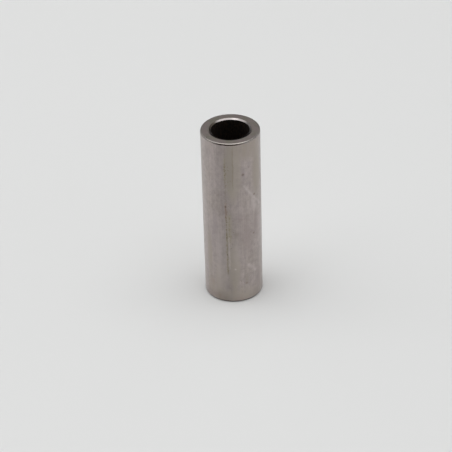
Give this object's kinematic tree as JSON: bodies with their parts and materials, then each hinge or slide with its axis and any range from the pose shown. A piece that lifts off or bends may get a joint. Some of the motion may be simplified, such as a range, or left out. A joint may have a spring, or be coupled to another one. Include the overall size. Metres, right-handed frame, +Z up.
{
  "type": "gudgeon pin",
  "caption": "Hollow round steel pin with flat end faces, rounded outer edges and a plain bore chamfered at each mouth; it joins a piston to its connecting rod.",
  "frame": {"origin": "middle of the lower end face, on the pin's axis, where it stands", "axes": "+Z up the pin's axis from the lower end face to the upper one; X and Y are alike, because the pin is round"},
  "size_m": [0.02, 0.02, 0.064],
  "materials": {
    "ground_steel": "satin ground outside, faced ends, dark bore"
  },
  "bodies": {
    "root": {"gudgeon_pin": "ground_steel"}
  },
  "joints": []
}
